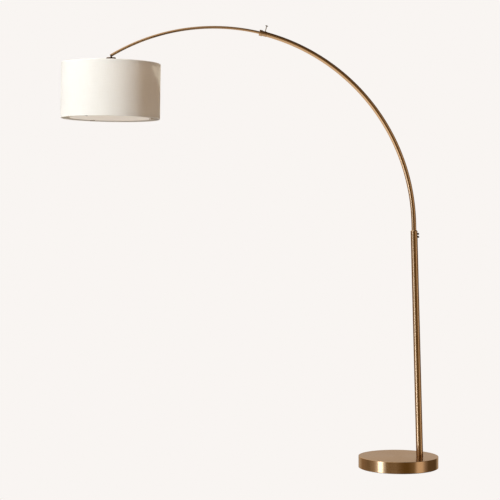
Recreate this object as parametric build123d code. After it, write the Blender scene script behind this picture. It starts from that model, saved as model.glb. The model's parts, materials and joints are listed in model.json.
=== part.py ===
from build123d import *
import os
from math import cos, degrees, pi, radians, sin

# Arc floor lamp: a weighted disc base, a straight post, a lower arc tube that swivels in the
# post, an upper arc tube that telescopes through it on one common circle, and a drum shade
# on a small swivel at the tip. All sizes are millimetres. The origin is the centre of the
# base's underside, +Z is up, and the arc lies in the XZ plane and leans over towards -X.

# Clearances
FIT = 0.05            # radial, between a bush and what turns or is pressed in it
SLIDE_FIT = 0.3       # radial, between the nested curved tubes and their plastic bushes
CONTACT_GAP = 0.05    # between a clamp pad and the tube it bears on
CORD_FIT = 0.3        # radial, round the lead where a grommet holds it

# Base
BASE_DIAMETER = 368.0
BASE_HEIGHT = 54.0
BASE_EDGE_ROUND = 1.6
SHELL_WALL = 1.2
PAD_THICKNESS = 2.5
PAD_INSET = 5.0
PLATE_THICKNESS = 1.5
WEIGHT_GAP = 0.5      # radial, between the cast weight and the spun shell
PLATE_SCREWS = 4
PLATE_SCREW_EDGE = 32.3  # from the plate's edge to the screws
PLATE_SCREW_RADIUS = 2.0
PLATE_SCREW_HEAD_RADIUS = 4.0
PLATE_SCREW_LENGTH = 16.0
PLATE_SCREW_TURN = 45.0  # degrees from +X to the first screw
PLATE_SCREW_SPARE = 2.0  # depth of the hole past the screw's tip
COUNTERSINK_LAND = 0.2  # straight wall left under the countersink

# Foot fixing
NIPPLE_RADIUS = 8.0
NIPPLE_BORE_RADIUS = 4.75
NIPPLE_GRIP = 24.0    # how far the nipple screws up into the post's foot plug
NIPPLE_TAIL = 2.0     # how far it stands out of the nut
FOOT_PLUG_LENGTH = 30.0
NUT_POCKET_TOP = 32.8  # height of the foot washer's seat above the floor
FOOT_WASHER_RADIUS = 15.0
FOOT_WASHER_THICKNESS = 2.5
LOCK_WASHER_RADIUS = 12.5
LOCK_WASHER_THICKNESS = 2.0
FOOT_NUT_WIDTH = 22.0
FOOT_NUT_HEIGHT = 6.0
NUT_POCKET_RADIUS = 19.0

# Post
POST_OFFSET = 98.6    # from the middle of the base towards +X
POST_LEAN = 1.45      # degrees towards -X
POST_DIAMETER = 31.75
POST_WALL = 1.5
POST_LENGTH = 1038.0  # from the base to the top of the rim
RIM_HEIGHT = 2.6
RIM_OVERHANG = 0.8
RIM_CONE_HEIGHT = 4.0
RIM_CONE_STEP = 1.0   # from the post's side in to the foot of the cone
RIM_CONE_LIP = 1.2    # wall of the cone's top, round the lower tube
TOP_BUSH_DEPTH = 42.0
SPIGOT_DEPTH = 180.0
LOWER_BUSH_CUP = 24.0
LOWER_BUSH_FLOOR = 8.0

# Arc
ARC_RADIUS = 925.0
NECK_LENGTH = 39.0    # straight tube between the post's rim and the start of the curve
LOWER_DIAMETER = 22.2
LOWER_WALL = 1.2
LOWER_END = 76.35     # degrees round the circle, from level on the +X side
UPPER_DIAMETER = 12.7
UPPER_WALL = 1.2
UPPER_START = 56.0
TIP_END = 120.95
SHOE_LENGTH = 24.0
SHOE_LIP = 2.0
RETRACTED = 20.0      # degrees that the upper tube can slide back down from here

# Clamp collar at the top of the lower tube
COLLAR_HEAD_WALL = 2.9
COLLAR_HEAD_LENGTH = 15.0
COLLAR_SKIRT_WALL = 1.0
COLLAR_SKIRT_LENGTH = 21.0
COLLAR_LIP = 7.0      # how far the collar's head reaches past the tube's end
LINER_LENGTH = 34.0
LINER_FLANGE = 2.0
CLAMP_SETBACK = 25.5  # from the collar's front face to the clamp screw

# Clamp screws
SCREW_RADIUS = 2.5
SCREW_PAD_RADIUS = 2.1
SCREW_PAD_THICKNESS = 1.4
SCREW_TIP_GAP = 0.02
KNOB_RADIUS = 4.5
KNOB_LENGTH = 6.2
KNOB_STANDOFF = 0.7
KNOB_CHAMFER = 0.8
KNOB_GROOVE_AT = 1.0  # from the knob's back to its groove
KNOB_GROOVE_WIDTH = 0.6
KNOB_GROOVE_DEPTH = 0.5
KNOB_DROP = 13.4      # from the rim's top to the first knob
KNOB_SPACING = 13.9
HANDLE_HEIGHT = 26.0  # from the collar to the middle of the cross bar
HANDLE_STEM_RADIUS = 2.1
HANDLE_BAR_RADIUS = 2.0
HANDLE_BAR_LENGTH = 15.0
HANDLE_BAR_ROUND = 1.8
HANDLE_SHOULDER = 2.0  # how far the threaded part stands out of the collar
HANDLE_TURN = 40.0    # degrees that the cross bar stands off the arc's plane

# Tip swivel
FORK_BACK = 7.0       # solid body behind the pivot
FORK_FRONT = 4.5      # cheeks past the pivot
FORK_SPIGOT = 18.0
FORK_LEAD_STOP = 1.0  # solid left between the lead's hole and the back of the fork
CHEEK_FLAT = 0.6      # depth of the flat under each pivot head
SLOT_WIDTH = 5.6
SLOT_BACK = 5.0
EYE_RADIUS = 4.0
EYE_CLEARANCE = 0.5
TANG_THICKNESS = 4.0
PIVOT_RADIUS = 2.0
PIVOT_HEAD_RADIUS = 3.2
PIVOT_HEAD_HEIGHT = 1.4
PIVOT_HEAD_ROUND = 0.84
HEAD_TILT = 0.8       # degrees, the +X side hangs lower

# Lamp head, with heights below the pivot
CUP_DROP = 10.0
CUP_GAP = 2.0         # radial, between the lampholder and the cup
CUP_WALL = 1.0
CUP_HEIGHT = 62.0
CUP_ROUND = 3.0
STUB_RADIUS = 4.0
STUB_LENGTH = 34.0    # below the top of the cup
STUB_NUT_WIDTH = 13.0
STUB_NUT_HEIGHT = 5.0
SHOULDER_STEP = 0.8   # how far the tang's shoulder stands out round the stub
SHOULDER_HEIGHT = 1.5
HOLDER_DROP = 30.0    # from the top of the cup to the top of the lampholder
HOLDER_WALL = 2.0
HOLDER_ROOF = 8.0
SKIRT_STEP = 0.7      # how far the threaded skirt stands out of the lampholder's side
SKIRT_LENGTH = 10.0   # below the cup
SKIRT_RISE = 6.0      # above the cup's mouth, inside it
CAP_FIT = 0.3         # radial, between the bulb's cap and the thread shell
SHELL_GAP = 3.1       # radial, between the thread shell and the lampholder
THREAD_SHELL_WALL = 0.4
THREAD_SHELL_LENGTH = 24.0
CONTACT_RADIUS = 4.0
CONTACT_HEIGHT = 3.0
FITTER_THICKNESS = 2.0
FITTER_FLANGE = 8.3
RING_NUT_FLANGE = 6.8
RING_NUT_HEIGHT = 6.0

# Bulb
BULB_DIAMETER = 60.0
BULB_NECK_STEP = 0.8  # how far the glass neck stands out of the cap's side
BULB_LENGTH = 108.0
BULB_WALL = 1.0
BULB_CAP_RADIUS = 13.2
BULB_CAP_LENGTH = 24.0
BULB_TIP_RADIUS = 5.0
BULB_TIP_HEIGHT = 2.0

# Shade
SHADE_DIAMETER = 457.2
SHADE_HEIGHT = 254.0
SHADE_TOP_DROP = 39.0  # from the pivot to the top of the shade
FABRIC_THICKNESS = 0.6
LINER_THICKNESS = 0.5
WIRE_RADIUS = 1.6
RING_INSET = 0.3
SPIDER_ARMS = 3
SPIDER_TURN = 90.0
SPIDER_WIRE_RADIUS = 2.0
DIFFUSER_GAP = 40.6   # between the shade's outside and the diffuser's edge
DIFFUSER_THICKNESS = 3.0
CLIP_WIDTH = 8.0
CLIP_THICKNESS = 1.2
CLIP_OVERLAP = 9.0
CLIP_PIN_RADIUS = 2.0
CLIP_PIN_HEAD_RADIUS = 4.0
CLIP_PIN_HEAD_HEIGHT = 2.0
CLIP_PIN_TAIL = 0.4   # below the clip

# Lead
LEAD_RADIUS = 2.75
LEAD_HEIGHT = 10.0    # of its run across the base
LEAD_FOOT_BEND = 12.0
LEAD_CHANNEL_BEND = 25.0
CHANNEL_WIDTH = 11.0
CHANNEL_TOP = 17.0
GLAND_ANGLE = 65.0    # round the base from +X towards +Y
GLAND_RADIUS = 6.5
GLAND_HEAD_RADIUS = 8.5
GLAND_HEAD_LENGTH = 3.0
GLAND_LENGTH = 10.0
GLAND_HEAD_GAP = 0.4  # between the base's side and the back of the gland's head
GLAND_ROUND = 1.0
GLAND_BORE_RADIUS = 3.4
CHANNEL_STRAIGHT = 59.0  # from the base's edge in to the channel's turn
HEAD_LEAD_GAP = 1.0   # from the lead in the cup to the lampholder's side


def rod(radius, low, high):
    return Pos(0, 0, (low + high) / 2) * Cylinder(radius, high - low)


def tube(outer, inner, low, high):
    return rod(outer, low, high) - rod(inner, low, high)


def hexagon(width, low, high):
    return Pos(0, 0, low) * extrude(RegularPolygon(width / 2, 6, major_radius=False), high - low)


# ---- Frames -------------------------------------------------------------------------------

POST = Location((POST_OFFSET, 0, BASE_HEIGHT), (0, -POST_LEAN, 0))
post_axis = Vector(-sin(radians(POST_LEAN)), 0, cos(radians(POST_LEAN)))
curve_start = Vector(POST_OFFSET, 0, BASE_HEIGHT) + post_axis * (POST_LENGTH + NECK_LENGTH)
arc_centre = curve_start - Vector(cos(radians(POST_LEAN)), 0, sin(radians(POST_LEAN))) * ARC_RADIUS
ARC_AXIS = Axis(tuple(arc_centre), (0, -1, 0))


def arc_frame(angle):
    """A frame on the arc's centre line: x outwards, z along the tube towards the tip."""
    outwards = Vector(cos(radians(angle)), 0, sin(radians(angle)))
    onwards = Vector(-sin(radians(angle)), 0, cos(radians(angle)))
    return Plane(origin=arc_centre + outwards * ARC_RADIUS, x_dir=outwards, z_dir=onwards)


def arc_angle(length):
    return degrees(length / ARC_RADIUS)


def arc_rod(radius, start, end):
    return revolve(arc_frame(start) * Circle(radius), ARC_AXIS, end - start)


def arc_tube(outer, inner, start, end):
    return revolve(arc_frame(start) * (Circle(outer) - Circle(inner)), ARC_AXIS, end - start)


parts = {}

# ---- Base ---------------------------------------------------------------------------------

base_radius = BASE_DIAMETER / 2
shell_inside = base_radius - SHELL_WALL
weight_radius = shell_inside - WEIGHT_GAP
plate_top = PAD_THICKNESS + PLATE_THICKNESS
weight_top = BASE_HEIGHT - SHELL_WALL
washer_seat = NUT_POCKET_TOP - BASE_HEIGHT
nut_top = washer_seat - FOOT_WASHER_THICKNESS - LOCK_WASHER_THICKNESS
nipple_end = nut_top - FOOT_NUT_HEIGHT - NIPPLE_TAIL

gland_way = Vector(cos(radians(GLAND_ANGLE)), sin(radians(GLAND_ANGLE)), 0)
gland_frame = Plane(
    origin=gland_way * base_radius + Vector(0, 0, LEAD_HEIGHT + PAD_THICKNESS),
    x_dir=(0, 0, 1),
    z_dir=gland_way,
)
channel_turn = gland_way * (base_radius - CHANNEL_STRAIGHT)
foot_slope = sin(radians(POST_LEAN)) / cos(radians(POST_LEAN))
foot_x = POST_OFFSET + (BASE_HEIGHT - gland_frame.origin.Z) * foot_slope
foot_point = Vector(foot_x, 0, 0)


def channel(start, end):
    """A square-edged groove in the underside of the weight, round at both ends."""
    way = end - start
    run = Plane(origin=(start + end) / 2, x_dir=way, z_dir=(0, 0, 1))
    groove = run * Box(way.length, CHANNEL_WIDTH, 2 * CHANNEL_TOP)
    ends = [Pos(*p) * Cylinder(CHANNEL_WIDTH / 2, 2 * CHANNEL_TOP) for p in (start, end)]
    return groove + ends


shell = rod(base_radius, PAD_THICKNESS, BASE_HEIGHT)
shell = fillet(shell.edges().group_by(Axis.Z)[-1], BASE_EDGE_ROUND)
shell -= rod(shell_inside, PAD_THICKNESS, weight_top)
shell -= POST * Cylinder(NIPPLE_RADIUS + FIT, 6 * SHELL_WALL)
shell -= gland_frame * Cylinder(GLAND_RADIUS + FIT, 8 * SHELL_WALL)
parts["base_shell"] = shell

weight = rod(weight_radius, plate_top, weight_top)
weight -= POST * Cylinder(NIPPLE_RADIUS + CORD_FIT, 2 * BASE_HEIGHT)
weight -= POST * rod(NUT_POCKET_RADIUS, washer_seat - BASE_HEIGHT, washer_seat)
weight -= channel(foot_point, channel_turn)
weight -= channel(channel_turn, gland_way * (weight_radius + CHANNEL_WIDTH))
weight -= gland_frame * Cylinder(GLAND_RADIUS + CORD_FIT, 2 * GLAND_LENGTH)
screw_places = PolarLocations(weight_radius - PLATE_SCREW_EDGE, PLATE_SCREWS, PLATE_SCREW_TURN)
screw_tip = PAD_THICKNESS + PLATE_SCREW_LENGTH
for place in screw_places:
    weight -= place * rod(PLATE_SCREW_RADIUS + FIT, PAD_THICKNESS, screw_tip + PLATE_SCREW_SPARE)
parts["base_weight"] = weight

head_depth = min(PLATE_SCREW_HEAD_RADIUS - PLATE_SCREW_RADIUS, PLATE_THICKNESS - COUNTERSINK_LAND)
countersink = Pos(0, 0, PAD_THICKNESS + head_depth / 2) * Cone(
    PLATE_SCREW_HEAD_RADIUS, PLATE_SCREW_HEAD_RADIUS - head_depth, head_depth
)
plate_screw = countersink + rod(PLATE_SCREW_RADIUS, PAD_THICKNESS, screw_tip)
sink_hole = Pos(0, 0, PAD_THICKNESS + head_depth / 2) * Cone(
    PLATE_SCREW_HEAD_RADIUS + FIT, PLATE_SCREW_HEAD_RADIUS - head_depth + FIT, head_depth
)
screw_hole = sink_hole + rod(PLATE_SCREW_RADIUS + FIT, 0, 2 * plate_top)
plate = rod(weight_radius, PAD_THICKNESS, plate_top)
for place in screw_places:
    plate -= place * screw_hole
parts["base_plate"] = plate
parts["plate_screws"] = Compound([place * plate_screw for place in screw_places])
parts["floor_pad"] = rod(base_radius - PAD_INSET, 0, PAD_THICKNESS)

gland = rod(GLAND_RADIUS, GLAND_HEAD_LENGTH - GLAND_LENGTH, 0)
gland += rod(GLAND_HEAD_RADIUS, GLAND_HEAD_GAP, GLAND_HEAD_LENGTH)
gland += rod(GLAND_RADIUS, 0, GLAND_HEAD_LENGTH)
gland = fillet(gland.edges().group_by(Axis.Z)[-1], GLAND_ROUND)
gland -= rod(GLAND_BORE_RADIUS, -GLAND_LENGTH, GLAND_LENGTH)
parts["cord_gland"] = gland_frame * gland

# ---- Foot fixing --------------------------------------------------------------------------

post_radius = POST_DIAMETER / 2
post_bore = post_radius - POST_WALL
nipple_hole = NIPPLE_RADIUS + FIT
below_top = Pos(0, 0, BASE_HEIGHT - base_radius) * Box(
    2 * BASE_DIAMETER, 2 * BASE_DIAMETER, 2 * base_radius
)

parts["foot_nipple"] = POST * tube(NIPPLE_RADIUS, NIPPLE_BORE_RADIUS, nipple_end, NIPPLE_GRIP)
washer_low = washer_seat - FOOT_WASHER_THICKNESS
parts["foot_washer"] = POST * tube(FOOT_WASHER_RADIUS, nipple_hole, washer_low, washer_seat)
parts["lock_washer"] = POST * tube(LOCK_WASHER_RADIUS, nipple_hole, nut_top, washer_low)
foot_nut = hexagon(FOOT_NUT_WIDTH, nut_top - FOOT_NUT_HEIGHT, nut_top)
parts["foot_nut"] = POST * (foot_nut - rod(nipple_hole, 2 * nut_top, 0))
plug = POST * tube(post_bore - FIT, nipple_hole, -POST_DIAMETER, FOOT_PLUG_LENGTH)
parts["foot_plug"] = plug - below_top

# ---- Post ---------------------------------------------------------------------------------

lower_radius = LOWER_DIAMETER / 2
lower_bore = lower_radius - LOWER_WALL
rim_low = POST_LENGTH - RIM_HEIGHT
spigot_end = POST_LENGTH - SPIGOT_DEPTH
knob_heights = [POST_LENGTH - KNOB_DROP - n * KNOB_SPACING for n in (0, 1)]
knob_frames = [POST * Pos(0, 0, height) * Rot(0, 90, 0) for height in knob_heights]
screw_way = rod(SCREW_RADIUS + FIT, 0, POST_DIAMETER)

post = POST * tube(post_radius, post_bore, -POST_DIAMETER, rim_low)
post -= below_top
top_bush = tube(post_bore - FIT, lower_radius + FIT, POST_LENGTH - TOP_BUSH_DEPTH, rim_low)
top_bush += tube(post_radius + RIM_OVERHANG, lower_radius + FIT, rim_low, POST_LENGTH)
cone = Pos(0, 0, POST_LENGTH + RIM_CONE_HEIGHT / 2) * Cone(
    post_radius - RIM_CONE_STEP, lower_radius + RIM_CONE_LIP, RIM_CONE_HEIGHT
)
top_bush += cone - rod(lower_radius + FIT, 0, 2 * POST_LENGTH)
top_bush = POST * top_bush
for frame in knob_frames:
    post -= frame * screw_way
    top_bush -= frame * screw_way
parts["post_tube"] = post
parts["top_bush"] = top_bush
bush_floor = spigot_end - LOWER_BUSH_FLOOR
lower_bush = tube(post_bore - FIT, lower_radius + FIT, spigot_end, spigot_end + LOWER_BUSH_CUP)
lower_bush += tube(post_bore - FIT, LEAD_RADIUS + CORD_FIT, bush_floor, spigot_end)
parts["lower_bush"] = POST * lower_bush

# ---- Lower arc ----------------------------------------------------------------------------

spigot_low = spigot_end + CONTACT_GAP
straight_top = POST_LENGTH + NECK_LENGTH
collar_front = LOWER_END + arc_angle(COLLAR_LIP)
collar_back = collar_front - arc_angle(COLLAR_HEAD_LENGTH)
skirt_back = collar_back - arc_angle(COLLAR_SKIRT_LENGTH)
clamp_at = collar_front - arc_angle(CLAMP_SETBACK)
clamp_frame = Location(arc_frame(clamp_at)) * Rot(0, 90, 0)
upper_radius = UPPER_DIAMETER / 2
upper_bore = upper_radius - UPPER_WALL
liner_bore = upper_radius + SLIDE_FIT
skirt_radius = lower_radius + COLLAR_SKIRT_WALL
collar_radius = lower_radius + COLLAR_HEAD_WALL
clamp_way = clamp_frame * rod(SCREW_RADIUS + FIT, 0, 2 * LOWER_DIAMETER)

lower_tube = POST * tube(lower_radius, lower_bore, spigot_low, straight_top)
lower_tube += arc_tube(lower_radius, lower_bore, POST_LEAN, LOWER_END)
parts["lower_arc_tube"] = lower_tube - clamp_way

flange_end = LOWER_END + arc_angle(LINER_FLANGE)
collar = arc_tube(collar_radius, lower_radius + FIT, collar_back, flange_end)
collar += arc_tube(collar_radius, liner_bore + SLIDE_FIT, flange_end, collar_front)
collar += arc_tube(skirt_radius, lower_radius + FIT, skirt_back, collar_back)
parts["clamp_collar"] = collar - clamp_way
liner_low = LOWER_END - arc_angle(LINER_LENGTH)
liner = arc_tube(lower_bore - FIT, liner_bore, liner_low, LOWER_END)
liner += arc_tube(lower_radius - FIT, liner_bore, LOWER_END, flange_end)
parts["collar_liner"] = liner - clamp_way

grommet_high = spigot_low + LOWER_BUSH_FLOOR
grommet = tube(lower_bore - FIT, LEAD_RADIUS + CORD_FIT, spigot_low, grommet_high)
parts["spigot_grommet"] = POST * grommet

# ---- Upper arc ----------------------------------------------------------------------------

pivot_angle = TIP_END - arc_angle(FORK_FRONT)
upper_end = pivot_angle - arc_angle(FORK_BACK)
tip_frame = Location(arc_frame(pivot_angle))
upper_tube = arc_tube(upper_radius, upper_bore, UPPER_START, upper_end)
parts["upper_arc_tube"] = upper_tube

shoe_lip = UPPER_START - arc_angle(SHOE_LIP)
shoe_high = UPPER_START + arc_angle(SHOE_LENGTH)
shoe_radius = lower_bore - SLIDE_FIT
shoe = arc_tube(shoe_radius, upper_radius + FIT, UPPER_START, shoe_high)
shoe += arc_tube(shoe_radius, LEAD_RADIUS + CORD_FIT, shoe_lip, UPPER_START)
parts["slide_shoe"] = shoe

fork = arc_rod(upper_radius, upper_end, TIP_END)
fork_low = upper_end - arc_angle(FORK_SPIGOT)
fork += arc_rod(upper_bore - FIT, fork_low, upper_end)
slot_length = SLOT_BACK + 2 * FORK_FRONT
slot_top = EYE_RADIUS + EYE_CLEARANCE
slot = Pos(slot_top - UPPER_DIAMETER, 0, slot_length / 2 - SLOT_BACK) * Box(
    2 * UPPER_DIAMETER, SLOT_WIDTH, slot_length
)
fork -= tip_frame * slot
across = Rot(90, 0, 0)
fork -= tip_frame * across * Cylinder(PIVOT_RADIUS + FIT, 2 * UPPER_DIAMETER)
fork -= arc_rod(LEAD_RADIUS + CORD_FIT, fork_low, pivot_angle - arc_angle(FORK_BACK - FORK_LEAD_STOP))
flat = Box(2 * UPPER_DIAMETER, UPPER_DIAMETER, 4 * FORK_FRONT)
cheek = upper_radius - CHEEK_FLAT
flat_middle = 2 * FORK_FRONT - PIVOT_HEAD_RADIUS
for side in (-1, 1):
    fork -= tip_frame * Pos(0, side * (cheek + upper_radius), flat_middle) * flat
parts["tip_fork"] = fork

# ---- Clamp screws -------------------------------------------------------------------------


def clamp_pad(bears_on):
    low = bears_on + CONTACT_GAP
    return rod(SCREW_PAD_RADIUS, low, low + SCREW_PAD_THICKNESS)


def screw_low(bears_on):
    return bears_on + CONTACT_GAP + SCREW_PAD_THICKNESS + SCREW_TIP_GAP


def knob(bears_on, surface):
    """A thumb screw with a grooved round head close to the post."""
    head_low = surface + KNOB_STANDOFF
    head_high = head_low + KNOB_LENGTH
    head = rod(KNOB_RADIUS, head_low, head_high)
    head = chamfer(head.edges().group_by(Axis.Z)[-1], KNOB_CHAMFER)
    groove_low = head_low + KNOB_GROOVE_AT
    groove_high = groove_low + KNOB_GROOVE_WIDTH
    groove = tube(2 * KNOB_RADIUS, KNOB_RADIUS - KNOB_GROOVE_DEPTH, groove_low, groove_high)
    return head - groove + rod(SCREW_RADIUS, screw_low(bears_on), groove_low)


def tee_handle(bears_on, surface):
    """A thumb screw with a cross bar on a plain stem."""
    bar_height = surface + HANDLE_HEIGHT
    screw = rod(SCREW_RADIUS, screw_low(bears_on), surface + HANDLE_SHOULDER)
    screw += rod(HANDLE_STEM_RADIUS, surface, bar_height)
    bar = Cylinder(HANDLE_BAR_RADIUS, HANDLE_BAR_LENGTH)
    bar = fillet(bar.edges(), HANDLE_BAR_ROUND)
    return screw + Pos(0, 0, bar_height) * Rot(0, 0, HANDLE_TURN) * Rot(0, 90, 0) * bar


knob_names = ("upper_knob", "lower_knob")
for name, frame in zip(knob_names, knob_frames):
    parts[name] = frame * knob(lower_radius, post_radius)
    parts[name + "_pad"] = frame * clamp_pad(lower_radius)
parts["tee_screw"] = clamp_frame * tee_handle(upper_radius, skirt_radius)
parts["tee_screw_pad"] = clamp_frame * clamp_pad(upper_radius)

# ---- Tip swivel ---------------------------------------------------------------------------

pivot_point = arc_centre + Vector(cos(radians(pivot_angle)), 0, sin(radians(pivot_angle))) * ARC_RADIUS
HEAD = Location(tuple(pivot_point), (0, HEAD_TILT, 0))

pin = tip_frame * across * Cylinder(PIVOT_RADIUS, 2 * cheek)
screw_head = Pos(0, 0, cheek + PIVOT_HEAD_HEIGHT / 2) * Cylinder(PIVOT_HEAD_RADIUS, PIVOT_HEAD_HEIGHT)
screw_head = fillet(screw_head.edges().group_by(Axis.Z)[-1], PIVOT_HEAD_ROUND)
pin += tip_frame * across * screw_head
parts["pivot_screw"] = pin + tip_frame * across * rod(PIVOT_RADIUS, -cheek - PIVOT_HEAD_HEIGHT, 0)
pivot_nut = screw_head - rod(PIVOT_RADIUS + FIT, 0, UPPER_DIAMETER)
parts["pivot_nut"] = tip_frame * across * Rot(180, 0, 0) * pivot_nut
washer_out = SLOT_WIDTH / 2 - FIT
washer_in = TANG_THICKNESS / 2 + FIT
friction = [tube(EYE_RADIUS, PIVOT_RADIUS + FIT, washer_in, washer_out)]
friction.append(Rot(180, 0, 0) * friction[0])
parts["swivel_washers"] = Compound([tip_frame * across * washer for washer in friction])

cup_top = -CUP_DROP
stub_low = cup_top - STUB_LENGTH
tang = across * Cylinder(EYE_RADIUS, TANG_THICKNESS)
tang += Pos(0, 0, cup_top / 2) * Box(2 * EYE_RADIUS, TANG_THICKNESS, CUP_DROP)
tang += rod(EYE_RADIUS + SHOULDER_STEP, cup_top, cup_top + SHOULDER_HEIGHT)
tang += rod(STUB_RADIUS, stub_low, cup_top)
tang -= across * Cylinder(PIVOT_RADIUS + FIT, 2 * TANG_THICKNESS)
parts["swivel_tang"] = HEAD * tang
nut_high = cup_top - CUP_WALL
stub_nut = hexagon(STUB_NUT_WIDTH, nut_high - STUB_NUT_HEIGHT, nut_high)
parts["stub_nut"] = HEAD * (stub_nut - rod(STUB_RADIUS + FIT, stub_low, 0))

# ---- Lamp head ----------------------------------------------------------------------------

thread_radius = BULB_CAP_RADIUS + CAP_FIT + THREAD_SHELL_WALL
holder_cavity = thread_radius + SHELL_GAP
holder_radius = holder_cavity + HOLDER_WALL
holder_skirt = holder_radius + SKIRT_STEP
fitter_radius = holder_skirt + FITTER_FLANGE
ring_nut_radius = holder_skirt + RING_NUT_FLANGE
cup_radius = holder_radius + CUP_GAP + CUP_WALL
cup_low = cup_top - CUP_HEIGHT
cup = rod(cup_radius, cup_low, cup_top)
cup = fillet(cup.edges().group_by(Axis.Z)[-1], CUP_ROUND)
cavity = rod(cup_radius - CUP_WALL, cup_low, cup_top - CUP_WALL)
cavity = fillet(cavity.edges().group_by(Axis.Z)[-1], CUP_ROUND - CUP_WALL)
parts["socket_cup"] = HEAD * (cup - cavity - rod(STUB_RADIUS + FIT, cup_low, 0))

holder_top = cup_top - HOLDER_DROP
roof = holder_top - HOLDER_ROOF
skirt_low = cup_low - SKIRT_LENGTH
holder = rod(holder_radius, cup_low, holder_top)
holder += rod(holder_skirt, skirt_low, cup_low + SKIRT_RISE)
holder -= rod(holder_cavity, skirt_low, roof)
holder -= rod(STUB_RADIUS + FIT, roof, 0)
shell_low = roof - THREAD_SHELL_LENGTH
shell_ring = tube(thread_radius, thread_radius - THREAD_SHELL_WALL, shell_low, roof)
parts["lampholder"] = HEAD * holder
parts["thread_shell"] = HEAD * shell_ring
contact_low = roof - CONTACT_HEIGHT
parts["centre_contact"] = HEAD * rod(CONTACT_RADIUS, contact_low, roof)

fitter_low = cup_low - FITTER_THICKNESS
ring_nut = tube(ring_nut_radius, holder_skirt + FIT, fitter_low - RING_NUT_HEIGHT, fitter_low)
parts["ring_nut"] = HEAD * ring_nut

# ---- Bulb ---------------------------------------------------------------------------------

bulb_top = contact_low
cap_top = bulb_top - BULB_TIP_HEIGHT
cap_low = cap_top - BULB_CAP_LENGTH
cap = rod(BULB_CAP_RADIUS, cap_low, cap_top)
cap += rod(BULB_TIP_RADIUS, cap_top, bulb_top)
parts["bulb_cap"] = HEAD * cap
bulb_low = bulb_top - BULB_LENGTH


def pear(neck_radius, globe_radius, globe_height, neck_top):
    """A solid pear shape: a round globe that narrows upwards into a neck."""
    low = (0, globe_height - globe_radius)
    side = (globe_radius, globe_height)
    neck = (neck_radius, neck_top)
    shoulder = Spline([neck, side], tangents=[(0.1, -1), (0, -1)])
    bowl = RadiusArc(side, low, globe_radius)
    outline = make_face([shoulder, bowl, Polyline([low, (0, neck_top), neck])])
    return revolve(Plane.XZ * outline, Axis.Z)


globe_radius = BULB_DIAMETER / 2
globe_height = bulb_low + globe_radius
neck_radius = BULB_CAP_RADIUS + BULB_NECK_STEP
globe = pear(neck_radius, globe_radius, globe_height, cap_low)
globe -= pear(neck_radius - BULB_WALL, globe_radius - BULB_WALL, globe_height, cap_low)
parts["bulb_glass"] = HEAD * globe

# ---- Shade --------------------------------------------------------------------------------

shade_radius = SHADE_DIAMETER / 2
shade_top = -SHADE_TOP_DROP
shade_low = shade_top - SHADE_HEIGHT
fabric_inside = shade_radius - FABRIC_THICKNESS
liner_inside = fabric_inside - LINER_THICKNESS
ring_radius = liner_inside - WIRE_RADIUS - RING_INSET
top_wire = shade_top - WIRE_RADIUS - RING_INSET
low_wire = shade_low + WIRE_RADIUS + RING_INSET
parts["shade_fabric"] = HEAD * tube(shade_radius, fabric_inside, shade_low, shade_top)
parts["shade_liner"] = HEAD * tube(fabric_inside, liner_inside, shade_low, shade_top)

fitter_middle = cup_low - FITTER_THICKNESS / 2
spider = tube(fitter_radius, holder_skirt + FIT, fitter_low, cup_low)
spider += Pos(0, 0, top_wire) * Torus(ring_radius, WIRE_RADIUS)
arm_start = (fitter_radius - SPIDER_WIRE_RADIUS, 0, fitter_middle - SPIDER_WIRE_RADIUS)
arm_end = (ring_radius, 0, top_wire)
arm_way = Vector(*arm_end) - Vector(*arm_start)
arm_plane = Plane(origin=arm_start, z_dir=arm_way)
arm = extrude(arm_plane * Circle(SPIDER_WIRE_RADIUS), arm_way.length)
arm -= rod(ring_nut_radius + CONTACT_GAP, fitter_low - RING_NUT_HEIGHT, fitter_low)
arm -= rod(holder_skirt + FIT, skirt_low, cup_low)
for place in PolarLocations(0, SPIDER_ARMS, SPIDER_TURN):
    spider += place * arm
parts["shade_spider"] = HEAD * spider
parts["bottom_ring"] = HEAD * Pos(0, 0, low_wire) * Torus(ring_radius, WIRE_RADIUS)

diffuser_radius = shade_radius - DIFFUSER_GAP
clip_top = low_wire + CLIP_THICKNESS / 2
clip_low = clip_top - CLIP_THICKNESS
clip_in = diffuser_radius - CLIP_OVERLAP
clip_out = ring_radius - WIRE_RADIUS - 2 * CONTACT_GAP
pin_at = Pos(diffuser_radius - CLIP_OVERLAP / 2, 0, 0)
diffuser_top = clip_top + DIFFUSER_THICKNESS
diffuser = rod(diffuser_radius, clip_top, diffuser_top)
clip = Pos((clip_in + clip_out) / 2, 0, clip_low + CLIP_THICKNESS / 2) * Box(
    clip_out - clip_in, CLIP_WIDTH, CLIP_THICKNESS
)
pin_hole = pin_at * rod(CLIP_PIN_RADIUS + FIT, clip_low, diffuser_top)
clip -= pin_hole
clip_pin = pin_at * rod(CLIP_PIN_RADIUS, clip_low - CLIP_PIN_TAIL, diffuser_top)
clip_pin += pin_at * rod(CLIP_PIN_HEAD_RADIUS, diffuser_top, diffuser_top + CLIP_PIN_HEAD_HEIGHT)
clip_places = PolarLocations(0, SPIDER_ARMS)
for place in clip_places:
    diffuser -= place * pin_hole
parts["diffuser"] = HEAD * diffuser
parts["diffuser_clips"] = Compound([HEAD * place * clip for place in clip_places])
parts["diffuser_pins"] = Compound([HEAD * place * clip_pin for place in clip_places])

# ---- Lead ---------------------------------------------------------------------------------

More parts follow.
